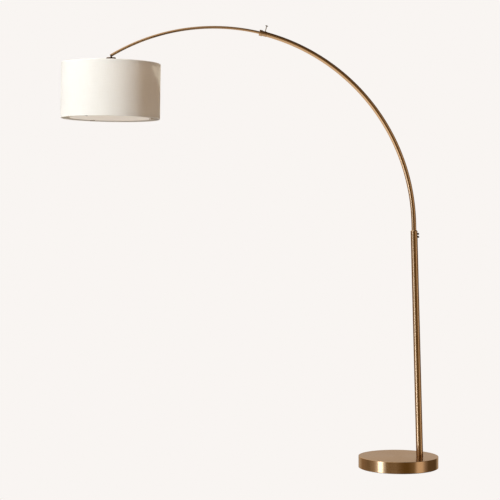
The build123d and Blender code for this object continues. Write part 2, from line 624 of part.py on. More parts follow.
lead_level = gland_frame.origin.Z
gland_inner = gland_way * (base_radius - GLAND_LENGTH + GLAND_HEAD_LENGTH - CORD_FIT)
lift = Vector(0, 0, lead_level)
lead_top = Vector(POST_OFFSET, 0, BASE_HEIGHT) + post_axis * (spigot_end - CORD_FIT)
lead_path = FilletPolyline(
    [gland_inner + lift, channel_turn + lift, foot_point + lift, lead_top],
    radius=[LEAD_CHANNEL_BEND, LEAD_FOOT_BEND],
)
lead_section = Plane(origin=lead_path @ 0, z_dir=lead_path % 0) * Circle(LEAD_RADIUS)
parts["stand_lead"] = sweep(lead_section, lead_path)

lower_lead_end = UPPER_START - RETRACTED - arc_angle(SHOE_LIP + SHOE_LENGTH)
lower_lead = POST * rod(LEAD_RADIUS, spigot_low, straight_top)
lower_lead += arc_rod(LEAD_RADIUS, POST_LEAN, lower_lead_end)
parts["lower_arc_lead"] = lower_lead
parts["upper_arc_lead"] = arc_rod(LEAD_RADIUS, shoe_lip, upper_end)
tail_x = holder_radius - 2 * LEAD_RADIUS - HEAD_LEAD_GAP
tail = Pos(tail_x, 0, 0) * rod(LEAD_RADIUS, holder_top, nut_high - CORD_FIT)
parts["head_lead"] = HEAD * tail

os.makedirs("parts", exist_ok=True)
for node, shape in parts.items():
    export_step(shape, f"parts/{node}.step")

lead_length = lead_path.length
print(f"{len(parts)} nodes, stand lead {lead_length:.0f} mm, "
      f"volume ratio {parts['stand_lead'].volume / (pi * LEAD_RADIUS ** 2 * lead_length):.4f}")
print("arc centre", [round(v, 2) for v in arc_centre], "pivot", [round(v, 2) for v in pivot_point])
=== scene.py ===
import bmesh
import bpy
import json
from math import atan2, cos, degrees, hypot, pi, radians, sin
from mathutils import Matrix, Vector


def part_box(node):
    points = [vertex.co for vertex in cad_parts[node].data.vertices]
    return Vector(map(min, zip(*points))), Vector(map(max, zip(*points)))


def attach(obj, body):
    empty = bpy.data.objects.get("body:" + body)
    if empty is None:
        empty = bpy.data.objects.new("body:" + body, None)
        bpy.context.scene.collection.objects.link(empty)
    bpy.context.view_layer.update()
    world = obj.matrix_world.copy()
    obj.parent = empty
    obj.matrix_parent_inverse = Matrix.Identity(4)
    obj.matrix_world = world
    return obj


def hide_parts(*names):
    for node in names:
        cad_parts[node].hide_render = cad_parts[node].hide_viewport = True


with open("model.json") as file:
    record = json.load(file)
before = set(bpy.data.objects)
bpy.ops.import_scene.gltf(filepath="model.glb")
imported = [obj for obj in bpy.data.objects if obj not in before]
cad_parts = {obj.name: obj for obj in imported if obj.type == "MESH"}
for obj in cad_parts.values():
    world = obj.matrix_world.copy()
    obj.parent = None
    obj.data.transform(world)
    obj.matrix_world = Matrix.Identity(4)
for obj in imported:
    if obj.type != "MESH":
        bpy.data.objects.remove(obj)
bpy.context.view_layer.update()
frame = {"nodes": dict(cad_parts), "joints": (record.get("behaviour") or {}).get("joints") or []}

# ---- Studio -------------------------------------------------------------------------------
# A plain pale studio. A soft lamp in front on the left, and a weaker one behind, light what is
# matt. The metal mirrors a dark room with a pale wall behind, a tall lamp left, a card right.

scene = bpy.context.scene
scene.view_settings.view_transform = "Standard"

view = bpy.data.objects.new("studio_camera", bpy.data.cameras.new("studio_camera"))
view.location = (-0.6847, -6.879, 1.151)
view.rotation_euler = (pi / 2, 0, 0)
view.data.lens = 107.3
view.data.shift_y = -0.0636
scene.collection.objects.link(view)
scene.camera = view

PAPER = (0.947, 0.913, 0.888)
floor_mesh = bmesh.new()
bmesh.ops.create_grid(floor_mesh, x_segments=1, y_segments=1, size=40)
floor = bpy.data.objects.new("studio_floor", bpy.data.meshes.new("studio_floor"))
floor_mesh.to_mesh(floor.data)
floor_mesh.free()
floor.data.materials.append(bpy.data.materials.new("paper_floor"))
floor.data.materials[0].use_nodes = True
paper = floor.data.materials[0].node_tree.nodes["Principled BSDF"]
paper.inputs["Base Color"].default_value = (0, 0, 0, 1)
paper.inputs["Roughness"].default_value = 1
paper.inputs["Specular IOR Level"].default_value = 0
paper.inputs["Emission Color"].default_value = (*PAPER, 1)
paper.inputs["Emission Strength"].default_value = 1
floor.visible_glossy = False
scene.collection.objects.link(floor)

world = bpy.data.worlds.new("studio_room")
scene.world = world
world.use_nodes = True
room = world.node_tree
room.nodes.clear()


def node(tree, kind, inputs=(), **settings):
    """One shader node. inputs are (socket name or number, value or the socket that feeds it)."""
    made = tree.nodes.new("ShaderNode" + kind)
    for name, value in settings.items():
        setattr(made, name, value)
    for socket, value in inputs:
        if isinstance(value, bpy.types.NodeSocket):
            tree.links.new(value, made.inputs[socket])
        else:
            made.inputs[socket].default_value = value
    return made


def maths(tree, operation, *values):
    return node(tree, "Math", enumerate(values), operation=operation).outputs[0]


def ramp(tree, factor, stops):
    """A colour ramp from (place, grey or colour) stops."""
    made = node(tree, "ValToRGB", [("Fac", factor)])
    while len(made.color_ramp.elements) < len(stops):
        made.color_ramp.elements.new(1)
    for element, (place, colour) in zip(made.color_ramp.elements, stops):
        element.position = place
        shade = (colour,) * 3 if isinstance(colour, (int, float)) else colour
        element.color = (*shade, 1)
    return made.outputs["Color"]


def blended(one, other, how):
    """Two colours of the room, multiplied or added."""
    made = node(room, "Mix", [("Factor", 1.0), ("A", one), ("B", other)],
                data_type="RGBA", blend_type=how)
    return made.outputs["Result"]


ROOM_GAIN = 5.0       # the ramps hold at most 1, and the brightest lamp is this much brighter
WARM_FILL = (0.46, 0.265, 0.125)  # what the room sends to matt surfaces
FILL_GAIN = 0.92
way = node(room, "TexCoord").outputs["Generated"]
part = node(room, "SeparateXYZ", [(0, way)])
turn = maths(room, "ARCTAN2", part.outputs["X"], maths(room, "MULTIPLY", part.outputs["Y"], -1.0))
turn = maths(room, "MULTIPLY_ADD", turn, 0.5 / pi, 0.5)
# stops run from behind, round by the left, the camera at 0.5 and the right, to behind
wall = (0.190, 0.183, 0.180)
dark = (0.039, 0.023, 0.007)
tall_lamp = (0.30, 0.33, 0.37)
card = (0.22, 0.175, 0.13)
ceiling = (0.20, 0.178, 0.152)
lamp_foot = (0.80, 0.85, 0.95)
around = ramp(room, turn, [
    (0.0, wall), (0.08, wall), (0.13, (0.085, 0.060, 0.040)), (0.22, (0.040, 0.026, 0.012)),
    (0.28, (0.08, 0.060, 0.040)), (0.312, (0.20, 0.18, 0.16)), (0.325, tall_lamp),
    (0.352, tall_lamp), (0.370, (0.20, 0.20, 0.20)), (0.388, (0.05, 0.034, 0.016)),
    (0.405, dark), (0.565, dark),
    (0.615, (0.064, 0.044, 0.022)), (0.645, card), (0.685, card),
    (0.715, (0.09, 0.068, 0.05)), (0.75, (0.036, 0.024, 0.012)), (0.86, (0.036, 0.026, 0.016)),
    (0.91, wall), (1.0, wall),
])
rise = maths(room, "MULTIPLY_ADD", part.outputs["Z"], 0.5, 0.5)
height = ramp(room, rise, [
    (0.0, 0.2), (0.22, 0.5), (0.40, 1.0), (0.70, 1.0), (0.80, 0.35), (1.0, 0.12),
])
mirrored = blended(around, height, "MULTIPLY")
# the left half of the ceiling and of the floor is lit, which the arc's tubes mirror
leftward = maths(room, "MULTIPLY_ADD", part.outputs["X"], -0.5, 0.5)
glow = ramp(room, leftward, [
    (0.40, 0.0), (0.50, (0.075, 0.062, 0.050)), (0.60, ceiling),
    (1.0, ceiling),
])
steep = ramp(room, rise, [(0.0, 1.0), (0.33, 1.0), (0.405, 0.0), (0.58, 0.0), (0.68, 1.0),
                          (1.0, 1.0)])
mirrored = blended(mirrored, blended(glow, steep, "MULTIPLY"), "ADD")
# the left lamp is far brighter near the floor, which the base's side mirrors
strip = ramp(room, turn, [(0.311, 0.0), (0.325, lamp_foot), (0.352, lamp_foot), (0.364, 0.0)])
near_floor = ramp(room, rise, [(0.36, 0.0), (0.40, 1.0), (0.43, 1.0), (0.455, 0.0)])
mirrored = blended(mirrored, blended(strip, near_floor, "MULTIPLY"), "ADD")
path = node(room, "LightPath")
glossy_room = node(room, "Background", [("Color", mirrored), ("Strength", ROOM_GAIN)])
soft_room = node(room, "Background", [("Color", (*WARM_FILL, 1)), ("Strength", FILL_GAIN)])
backdrop = node(room, "Background", [("Color", (*PAPER, 1)), ("Strength", 1.0)])
seen = node(room, "MixShader", [(0, path.outputs["Is Glossy Ray"]),
                                (1, soft_room.outputs[0]), (2, glossy_room.outputs[0])])
shown = node(room, "MixShader", [(0, path.outputs["Is Camera Ray"]),
                                 (1, seen.outputs[0]), (2, backdrop.outputs[0])])
node(room, "OutputWorld", [("Surface", shown.outputs[0])])


LAMP_AIM = Vector((-0.9, 0, 1.35))
LAMP_DISTANCE = 8.0


def softbox(name, azimuth, elevation, power, size, colour=(1, 1, 1)):
    """A square lamp that only lights what is matt: the metal mirrors the room instead."""
    lamp = bpy.data.objects.new(name, bpy.data.lights.new(name, "AREA"))
    lamp.data.shape = "SQUARE"
    lamp.data.size = size
    lamp.data.energy = power
    lamp.data.color = colour
    a, e = radians(azimuth), radians(elevation)
    back = Vector((sin(a) * cos(e), -cos(a) * cos(e), sin(e)))
    lamp.location = LAMP_AIM + back * LAMP_DISTANCE
    lamp.rotation_euler = back.to_track_quat("Z", "Y").to_euler()
    lamp.visible_glossy = False
    lamp.visible_camera = False
    scene.collection.objects.link(lamp)


softbox("key_softbox", -46, 24, 1470, 1.1, colour=(0.79, 0.90, 1.0))
softbox("back_softbox", 172, 25, 120, 3.0)

# ---- Base cover ---------------------------------------------------------------------------
# The cover is spun from sheet steel over a former, plated with brass, brushed as it turns and
# lacquered. Its rim is rolled in under the edge, and the nipple clamps it to the weight.

MM = 0.001
SHARP = 35            # degrees, past which an edge is shaded sharp


def local_size(node_name, place):
    """Lowest and highest z, and least and greatest radius, of a CAD node in a piece's frame."""
    back = place.inverted()
    points = [back @ v.co for v in frame["nodes"][node_name].data.vertices]
    radii = [hypot(p.x, p.y) for p in points]
    heights = [p.z for p in points]
    return min(heights), max(heights), min(radii), max(radii)


def finished(name, bm, material, body, stands_for=(), place=Matrix(), sharp=SHARP):
    """Writes a bmesh to an object in the frame, with its finish and body."""
    bm.transform(place)
    mesh = bpy.data.meshes.new(name)
    bm.to_mesh(mesh)
    bm.free()
    mesh.shade_smooth()
    mesh.set_sharp_from_angle(angle=radians(sharp))
    mesh.materials.append(material)
    piece = bpy.data.objects.new(name, mesh)
    scene.collection.objects.link(piece)
    weighted = piece.modifiers.new("even_shading", "WEIGHTED_NORMAL")
    weighted.keep_sharp = True
    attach(piece, body)
    if stands_for:
        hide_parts(*stands_for)
    return piece


def turned(outline, steps=160, longest=None, segments=5):
    """A bmesh turned on a lathe from a closed outline of (radius, height, round) corners."""
    bm = bmesh.new()
    corners = [bm.verts.new((radius, 0, height)) for radius, height, _ in outline]
    for a, b in zip(corners, corners[1:] + corners[:1]):
        bm.edges.new((a, b))
    for size in sorted({row[2] for row in outline if row[2]}):
        picked = [v for v, row in zip(corners, outline) if row[2] == size]
        bmesh.ops.bevel(bm, geom=picked, offset=size, offset_type="OFFSET", affect="VERTICES",
                        segments=segments, profile=0.5, material=-1)
    if longest:
        for edge in [e for e in bm.edges if e.calc_length() > longest]:
            cuts = int(edge.calc_length() / longest)
            bmesh.ops.subdivide_edges(bm, edges=[edge], cuts=cuts)
    bmesh.ops.spin(bm, geom=bm.verts[:] + bm.edges[:], cent=(0, 0, 0), axis=(0, 0, 1),
                   angle=2 * pi, steps=steps, use_merge=True)
    bmesh.ops.remove_doubles(bm, verts=bm.verts[:], dist=1e-6)
    bmesh.ops.delete(bm, geom=[e for e in bm.edges if e.is_wire], context="EDGES")
    bmesh.ops.recalc_face_normals(bm, faces=bm.faces[:])
    return bm


def finish_nodes(name, colour, roughness, metallic=0.0):
    """A new material with its Principled node, and the object's own coordinates."""
    material = bpy.data.materials.new(name)
    material.use_nodes = True
    tree = material.node_tree
    shader = tree.nodes["Principled BSDF"]
    shader.inputs["Base Color"].default_value = (*colour, 1)
    shader.inputs["Roughness"].default_value = roughness
    shader.inputs["Metallic"].default_value = metallic
    return material, tree, shader, node(tree, "TexCoord").outputs["Object"]


def noise(tree, vector, scale, detail=3.0, roughness=0.6):
    made = node(tree, "TexNoise", [("Vector", vector), ("Scale", scale), ("Detail", detail),
                                   ("Roughness", roughness)])
    return made.outputs["Fac"]


NOISE_LOW = 0.3       # nearly all of a noise lies between these two
NOISE_HIGH = 0.7


def between(tree, factor, low, high):
    """A number, or a colour, that goes from low to high with a noise."""
    if isinstance(low, (int, float)):
        made = node(tree, "MapRange", [("Value", factor), ("From Min", NOISE_LOW),
                                       ("From Max", NOISE_HIGH), ("To Min", low),
                                       ("To Max", high)])
        return made.outputs["Result"]
    return ramp(tree, factor, [(NOISE_LOW, low), (NOISE_HIGH, high)])


def combine(tree, x, y, z):
    return node(tree, "CombineXYZ", [(0, x), (1, y), (2, z)]).outputs[0]


def straightened(tree, where, place):
    """The object's coordinates seen from a piece's own frame."""
    back = place.inverted()
    return node(tree, "Mapping", [("Vector", where), ("Location", back.to_translation()),
                                  ("Rotation", back.to_euler())]).outputs[0]


def distance_of(tree, x, y):
    return maths(tree, "SQRT", maths(tree, "ADD", maths(tree, "MULTIPLY", x, x),
                                     maths(tree, "MULTIPLY", y, y)))


GRAIN_STRETCH = 26.0  # how much finer the grain is across than along


def turned_grain(tree, where, place):
    """Grain that runs round the frame's axis, on the side and on the flat alike."""
    own = straightened(tree, where, place)
    x, y, z = node(tree, "SeparateXYZ", [(0, own)]).outputs
    across = maths(tree, "ADD", distance_of(tree, x, y), z)
    offset = node(tree, "VectorMath", [(0, where), (1, place.to_translation())],
                  operation="SUBTRACT").outputs[0]
    along = node(tree, "VectorMath", [(0, place.to_3x3() @ Vector((0, 0, 1))),
                                      (1, offset)], operation="CROSS_PRODUCT").outputs[0]
    return combine(tree, maths(tree, "MULTIPLY", across, GRAIN_STRETCH), x, y), along


SCRATCHES = 95.0      # the scale of the finest lines, and the streaks are nine times as broad
CLOUDS = 7.0
QUARTER_TURN = 0.25   # turns the stretched highlight to lie across the grain
EDGE_TINT = (0.60, 0.50, 0.40)


def brushed(name, colour, worn, grain, place, roughness, pull, depth=0.004):
    """Brushed and lacquered metal: fine scratches along the grain, broad cloudy streaks."""
    material, tree, shader, where = finish_nodes(name, colour, roughness, 1.0)
    lines, along = grain(tree, where, place)
    fine = noise(tree, lines, SCRATCHES, 4.0, 0.7)
    broad = noise(tree, lines, SCRATCHES / 9, 3.0, 0.5)
    cloud = noise(tree, where, CLOUDS, 3.0, 0.55)
    mixed = maths(tree, "ADD", maths(tree, "MULTIPLY", fine, 0.30),
                  maths(tree, "ADD", maths(tree, "MULTIPLY", broad, 0.35),
                        maths(tree, "MULTIPLY", cloud, 0.35)))
    tree.links.new(between(tree, mixed, colour, worn), shader.inputs["Base Color"])
    tree.links.new(between(tree, fine, roughness * 0.9, roughness * 1.12),
                   shader.inputs["Roughness"])
    bump = node(tree, "Bump", [("Height", fine), ("Strength", 0.35), ("Distance", depth * MM)])
    tree.links.new(bump.outputs[0], shader.inputs["Normal"])
    shader.inputs["Anisotropic"].default_value = pull
    shader.inputs["Anisotropic Rotation"].default_value = QUARTER_TURN
    shader.inputs["Specular Tint"].default_value = (*EDGE_TINT, 1)
    facing = node(tree, "VectorTransform", [(0, along)], vector_type="VECTOR",
                  convert_from="OBJECT", convert_to="WORLD")
    tree.links.new(facing.outputs[0], shader.inputs["Tangent"])
    return material


ANTIQUE = (0.43, 0.295, 0.175)
ANTIQUE_WORN = (0.52, 0.37, 0.235)
BRONZE = (0.115, 0.070, 0.042)
BRONZE_WORN = (0.20, 0.130, 0.080)
upright = Matrix()
base_brass = brushed("base_brass", ANTIQUE, ANTIQUE_WORN, turned_grain, upright,
                     roughness=0.17, pull=0.7)

base_low, base_high, _, base_radius = local_size("base_shell", upright)
WALL = 1.2 * MM
EDGE = 1.6 * MM
ROLL = 4.0 * MM       # how far the rim is rolled in
LIP = 0.7 * MM
cover = finished("base_cover", turned([
    (0, base_high, 0), (base_radius, base_high, EDGE), (base_radius, base_low, 0.8 * MM),
    (base_radius - ROLL, base_low, 0.2 * MM), (base_radius - ROLL, base_low + LIP, 0.2 * MM),
    (base_radius - WALL, base_low + LIP, 0.3 * MM),
    (base_radius - WALL, base_high - WALL, EDGE / 4), (0, base_high - WALL, 0),
], steps=256), base_brass, "stand", ["base_shell"])

# ---- Post ---------------------------------------------------------------------------------
# The post is drawn brass-plated steel tube, brushed lengthwise. It is cut square to the floor
# and stands on the cover, where the nipple draws it down.

joints = {joint["name"]: joint for joint in frame["joints"]}
swivel = joints["arc_swivel"]
post_axis = Vector(swivel["axis"])
post_lean = atan2(post_axis.x, post_axis.z)
rim_top = Vector(swivel["pos_m"])
post_foot = rim_top - post_axis * ((rim_top.z - base_high) / post_axis.z)
post_place = Matrix.Translation(post_foot) @ Matrix.Rotation(post_lean, 4, "Y")
TUBE_RUN = 0.12       # a drawn tube's scratches are long
TUBE_SCRATCH = 0.0012  # and shallow, in millimetres


def straight_grain(tree, where, place):
    """Grain that runs along a straight tube."""
    own = straightened(tree, where, place)
    lines = node(tree, "VectorMath", [(0, own), (1, (GRAIN_STRETCH, GRAIN_STRETCH, TUBE_RUN))],
                 operation="MULTIPLY").outputs[0]
    return lines, node(tree, "CombineXYZ", enumerate(place.to_3x3() @ Vector((0, 0, 1)))).outputs[0]


post_brass = brushed("post_brass", ANTIQUE, ANTIQUE_WORN, straight_grain, post_place,
                     roughness=0.22, pull=0.35, depth=TUBE_SCRATCH)
frame["nodes"]["post_tube"].data.materials[0] = post_brass

# ---- Weight and underside -----------------------------------------------------------------
# A cast cement disc fills the cover. A steel plate is screwed up under it, and a foam pad is
# glued over the plate. These keep the frame's own shapes, apart from the pad's soft edge.


def moulded(name, colour, roughness, uneven=0.12, scale=60.0, depth=0.05, metallic=0.0):
    """A cast, moulded, plated or painted finish: colour, gloss and skin vary together."""
    material, tree, shader, where = finish_nodes(name, colour, roughness, metallic)
    grains = noise(tree, where, scale * 10, 4.0, 0.65)
    clouds = noise(tree, where, scale, 3.0, 0.5)
    both = maths(tree, "MULTIPLY_ADD", grains, 0.5, maths(tree, "MULTIPLY", clouds, 0.5))
    low = tuple(c * (1 - uneven) for c in colour)
    high = tuple(min(1.0, c * (1 + uneven)) for c in colour)
    tree.links.new(between(tree, both, low, high), shader.inputs["Base Color"])
    tree.links.new(between(tree, grains, roughness * 0.85, min(1.0, roughness * 1.15)),
                   shader.inputs["Roughness"])
    bump = node(tree, "Bump", [("Height", both), ("Strength", 0.6), ("Distance", depth * MM)])
    tree.links.new(bump.outputs[0], shader.inputs["Normal"])
    return material


def keeps_shape(material, *names):
    """CAD nodes whose shape is right, given their real finish."""
    for name in names:
        frame["nodes"][name].data.materials[0] = material


cement = moulded("cast_cement", (0.36, 0.35, 0.33), 0.92, uneven=0.25, scale=25, depth=0.8)
powder = moulded("powder_coat", (0.035, 0.034, 0.033), 0.55, uneven=0.2, scale=90, depth=0.06)
zinc = moulded("zinc_plate", (0.58, 0.58, 0.55), 0.32, uneven=0.15, scale=70, depth=0.02,
               metallic=1.0)
foam = moulded("pad_foam", (0.030, 0.030, 0.032), 0.97, uneven=0.4, scale=150, depth=0.35)
keeps_shape(cement, "base_weight")
keeps_shape(powder, "base_plate")
keeps_shape(zinc, "plate_screws", "foot_nipple", "foot_washer", "lock_washer", "foot_nut")

pad_low, pad_high, _, pad_radius = local_size("floor_pad", upright)
finished("foot_pad", turned([
    (0, pad_low, 0), (pad_radius, pad_low, 1.0 * MM), (pad_radius, pad_high, 0.5 * MM),
    (0, pad_high, 0),
]), foam, "stand", ["floor_pad"])

# ---- Cord gland ---------------------------------------------------------------------------
# A moulded rubber gland is pressed into the side of the cover. Its head lies on the cover
# and has finger ribs round it, and the hole through it takes the mains lead.

rubber = moulded("gland_rubber", (0.028, 0.027, 0.026), 0.7, uneven=0.2, scale=120, depth=0.08)
gland_low, gland_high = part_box("cord_gland")
gland_middle = (gland_low + gland_high) / 2
gland_way = Vector((gland_middle.x, gland_middle.y, 0)).normalized()
gland_place = (Matrix.Translation(gland_way * base_radius + Vector((0, 0, gland_middle.z)))
               @ gland_way.to_track_quat("Z", "X").to_matrix().to_4x4())
gland_back, gland_front, gland_bore, gland_head = local_size("cord_gland", gland_place)
BODY = 6.5 * MM       # the radius that goes through the cover
GLAND_SEAT = 0.4 * MM
GLAND_RIBS = 24


def fluted(bm, radius, depth, low, high, every=2):
    """Presses flutes into the side of a turned piece, one for each second column."""
    side = [v for v in bm.verts
            if low < v.co.z < high and abs(hypot(v.co.x, v.co.y) - radius) < 0.01 * radius]
    columns = sorted({round(atan2(v.co.y, v.co.x), 4) for v in side})
    for v in side:
        if columns.index(round(atan2(v.co.y, v.co.x), 4)) % every == 0:
            v.co.xy *= (radius - depth) / radius
    return bm


gland = turned([
    (gland_bore, gland_back, 0.2 * MM), (BODY, gland_back, 0.4 * MM),
    (BODY, GLAND_SEAT, 0.1 * MM), (gland_head, GLAND_SEAT, 0.2 * MM),
    (gland_head, gland_front, 0.9 * MM), (gland_bore, gland_front, 0.5 * MM),
], steps=2 * GLAND_RIBS)


def drilled(piece, place, radius, reach):
    """Cuts a round hole through a finished piece, along z of the hole's own frame."""
    bm = turned([(0, -reach, 0), (radius, -reach, 0), (radius, reach, 0), (0, reach, 0)],
                steps=48)
    bm.transform(place)
    drill = bpy.data.objects.new("drill", bpy.data.meshes.new("drill"))
    bm.to_mesh(drill.data)
    bm.free()
    scene.collection.objects.link(drill)
    piece.modifiers["even_shading"].show_viewport = False
    hole = piece.modifiers.new("hole", "BOOLEAN")
    hole.object = drill
    hole.solver = "EXACT"
    whole = piece.data
    ready = piece.evaluated_get(bpy.context.evaluated_depsgraph_get())
    piece.data = bpy.data.meshes.new_from_object(ready)
    piece.data.set_sharp_from_angle(angle=radians(SHARP))
    piece.modifiers.remove(hole)
    piece.modifiers["even_shading"].show_viewport = True
    bpy.data.objects.remove(drill)
    bpy.data.meshes.remove(whole)
    piece.data.name = piece.name


drilled(cover, gland_place, BODY, 12 * MM)
nipple_low, nipple_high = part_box("foot_nipple")
nipple_place = Matrix.Translation((nipple_low + nipple_high) / 2)
drilled(cover, nipple_place, (nipple_high.y - nipple_low.y) / 2, 60 * MM)
finished("rubber_gland", fluted(gland, gland_head, 0.35 * MM, 0.5 * MM, gland_front - 0.8 * MM),
         rubber, "stand", ["cord_gland"], gland_place)

# ---- Post top -----------------------------------------------------------------------------
# A turned brass bush is pressed into the post. Its rim covers the post's end and tapers up
# to the lower arc tube, which swivels in it.


def softened(name, node_name, material, body, width):
    """A merged copy of a CAD node with its edges broken, as a machined part's are."""
    bm = bmesh.new()
    bm.from_mesh(frame["nodes"][node_name].data)
    bmesh.ops.remove_doubles(bm, verts=bm.verts[:], dist=2e-6)
    bmesh.ops.dissolve_limit(bm, angle_limit=radians(0.5), verts=bm.verts[:], edges=bm.edges[:])
    for layer in list(bm.loops.layers.uv):
        bm.loops.layers.uv.remove(layer)
    piece = finished(name, bm, material, body, [node_name])
    broken = piece.modifiers.new("broken_edges", "BEVEL")
    broken.width = width
    broken.segments = 3
    broken.limit_method = "ANGLE"
    broken.angle_limit = radians(30)
    piece.modifiers.move(1, 0)


softened("post_rim", "top_bush", post_brass, "stand", 0.25 * MM)
nylon = moulded("bush_nylon", (0.04, 0.04, 0.043), 0.45, uneven=0.15, scale=80, depth=0.04)
keeps_shape(nylon, "lower_bush", "swivel_washers")
keeps_shape(zinc, "foot_plug")

# ---- Thumb screws -------------------------------------------------------------------------
# Two small aged-brass thumb screws clamp the arc's spigot. Each is turned from bar, with a
# groove at the back of its head and a straight knurl, and bears on a loose nylon pad.


def screw_place(joint_name):
    """The frame of a screw: on its axis, with z outwards along it."""
    joint = joints[joint_name]
    lean = atan2(joint["axis"][0], joint["axis"][2])
    return Matrix.Translation(joint["pos_m"]) @ Matrix.Rotation(lean, 4, "Y")


KNURLS = 36
SHANK = 2.5 * MM
KNOB_HEAD = 6.2 * MM
KNOB_BAND = 1.0 * MM  # plain, behind the groove
GROOVE_DEPTH = 0.5 * MM
GROOVE_END = KNOB_BAND + 0.6 * MM
for knob in ("upper_knob", "lower_knob"):
    place = screw_place(knob + "_turn")
    tip, face, _, grip = local_size(knob, place)
    back = face - KNOB_HEAD
    bronze = brushed(knob + "_bronze", BRONZE, BRONZE_WORN, turned_grain, place,
                     roughness=0.26, pull=0.4)
    bm = turned([
        (0, tip, 0), (SHANK, tip, 0.4 * MM), (SHANK, back, 0.1 * MM), (grip, back, 0.35 * MM),
        (grip, back + KNOB_BAND, 0.1 * MM),
        (grip - GROOVE_DEPTH, back + KNOB_BAND + 0.1 * MM, 0.1 * MM),
        (grip - GROOVE_DEPTH, back + GROOVE_END - 0.1 * MM, 0.1 * MM),
        (grip, back + GROOVE_END, 0.1 * MM),
        (grip, face, 0.8 * MM), (0, face, 0),
    ], steps=2 * KNURLS, segments=3)
    finished(knob + "_screw", fluted(bm, grip, 0.22 * MM, back + 1.65 * MM, face - 0.7 * MM),
             bronze, knob + "_screw", [knob], place, sharp=30)
keeps_shape(nylon, "upper_knob_pad", "lower_knob_pad", "tee_screw_pad")

# ---- Lower arc ----------------------------------------------------------------------------
# One length of plated tube, straight where it stands in the post and then rolled to the
# arc's radius, brushed lengthwise and lacquered.

arc_centre = Vector(joints["arc_telescope"]["pos_m"])
pivot = Vector(joints["head_tilt"]["pos_m"])
arc_radius = (pivot - arc_centre).length
arc_start = -post_lean


def arc_place(angle):
    """A frame on the arc's centre line: x outwards, z along the tube towards the tip."""
    return (Matrix.Translation(arc_centre) @ Matrix.Rotation(-angle, 4, "Y")
            @ Matrix.Translation((arc_radius, 0, 0)))


def arc_span(node_name):
    """The first and last angle of a CAD node round the arc's centre."""
    points = [v.co - arc_centre for v in frame["nodes"][node_name].data.vertices]
    angles = [atan2(p.z, p.x) for p in points]
    return min(angles), max(angles)


def bent(bm, start):
    """Bends a piece made straight along z on to the arc. What is below zero stays straight."""
    for v in bm.verts:
        x, y, z = v.co
        if z > 0:
            v.co = arc_place(start + z / arc_radius) @ Vector((x, y, 0))
        else:
            v.co = arc_place(start) @ v.co
    return bm


def arc_grain(tree, where, place):
    """Grain that follows a tube round the arc. place is the arc's centre."""
    offset = straightened(tree, where, place)
    x, y, z = node(tree, "SeparateXYZ", [(0, offset)]).outputs
    out = distance_of(tree, x, z)
    run = maths(tree, "MULTIPLY", maths(tree, "ARCTAN2", z, x), TUBE_RUN * arc_radius)
    lines = combine(tree, maths(tree, "MULTIPLY", out, GRAIN_STRETCH),
                    maths(tree, "MULTIPLY", y, GRAIN_STRETCH), run)
    along = node(tree, "VectorMath", [(0, offset), (1, (0, 1, 0))], operation="CROSS_PRODUCT")
    return lines, along.outputs[0]


def pipe(outer, inner, low, high, edge, steps=64):
    """A length of tube with its ends broken, in short enough lengths to bend."""
    return turned([(outer, low, edge), (outer, high, edge), (inner, high, edge),
                   (inner, low, edge)], steps=steps, longest=8 * MM, segments=3)


TUBE_WALL = 1.2 * MM
middle = Matrix.Translation(arc_centre)
arc_brass = brushed("arc_brass", ANTIQUE, ANTIQUE_WORN, arc_grain, middle,
                    roughness=0.20, pull=0.35, depth=TUBE_SCRATCH)
lower_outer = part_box("lower_arc_tube")[1].y
spigot = local_size("lower_arc_tube", arc_place(arc_start))[0]
lower_end = arc_span("lower_arc_tube")[1]
finished("lower_arc", bent(pipe(lower_outer, lower_outer - TUBE_WALL, spigot,
                                (lower_end - arc_start) * arc_radius, 0.3 * MM), arc_start),
         arc_brass, "lower_arc", ["lower_arc_tube"])
keeps_shape(nylon, "collar_liner")
keeps_shape(rubber, "spigot_grommet")

# ---- Clamp collar -------------------------------------------------------------------------
# A turned brass collar is brazed over the end of the lower tube. Its thick head closes in to
# the nylon liner, and its thin skirt reaches back past the clamp screw.

collar_front = arc_span("clamp_collar")[1]
collar_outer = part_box("clamp_collar")[1].y
COLLAR_LENGTH = 36.0 * MM
COLLAR_HEAD = 15.0 * MM
COLLAR_LIP = 5.0 * MM
COLLAR_GROOVE = 0.4 * MM
SKIRT = lower_outer + 1.0 * MM
collar_bore = lower_outer + 0.05 * MM
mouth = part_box("upper_arc_tube")[1].y + 0.6 * MM
head_back = COLLAR_LENGTH - COLLAR_HEAD
bm = turned([
    (SKIRT, 0, 0.5 * MM), (SKIRT, head_back, 0.15 * MM), (collar_outer, head_back, 0.5 * MM),
    (collar_outer, head_back + 2.2 * MM, 0.1 * MM),
    (collar_outer - COLLAR_GROOVE, head_back + 2.4 * MM, 0.1 * MM),
    (collar_outer - COLLAR_GROOVE, head_back + 3.0 * MM, 0.1 * MM),
    (collar_outer, head_back + 3.2 * MM, 0.1 * MM),
    (collar_outer, COLLAR_LENGTH, 1.0 * MM), (mouth, COLLAR_LENGTH, 0.4 * MM),
    (mouth, COLLAR_LENGTH - COLLAR_LIP, 0.1 * MM),
    (collar_bore, COLLAR_LENGTH - COLLAR_LIP, 0.1 * MM), (collar_bore, 0, 0.1 * MM),
], steps=96, longest=4 * MM, segments=3)
collar_brass = brushed("collar_brass", (0.36, 0.245, 0.145), (0.45, 0.315, 0.195), arc_grain,
                       middle, roughness=0.18, pull=0.4)
finished("arc_collar", bent(bm, collar_front - COLLAR_LENGTH / arc_radius), collar_brass,
         "lower_arc", ["clamp_collar"])

# ---- Tee screw ----------------------------------------------------------------------------
# The screw that clamps the upper tube: a plain steel stem through the collar, and a short
# round bar driven through its head to turn it by.


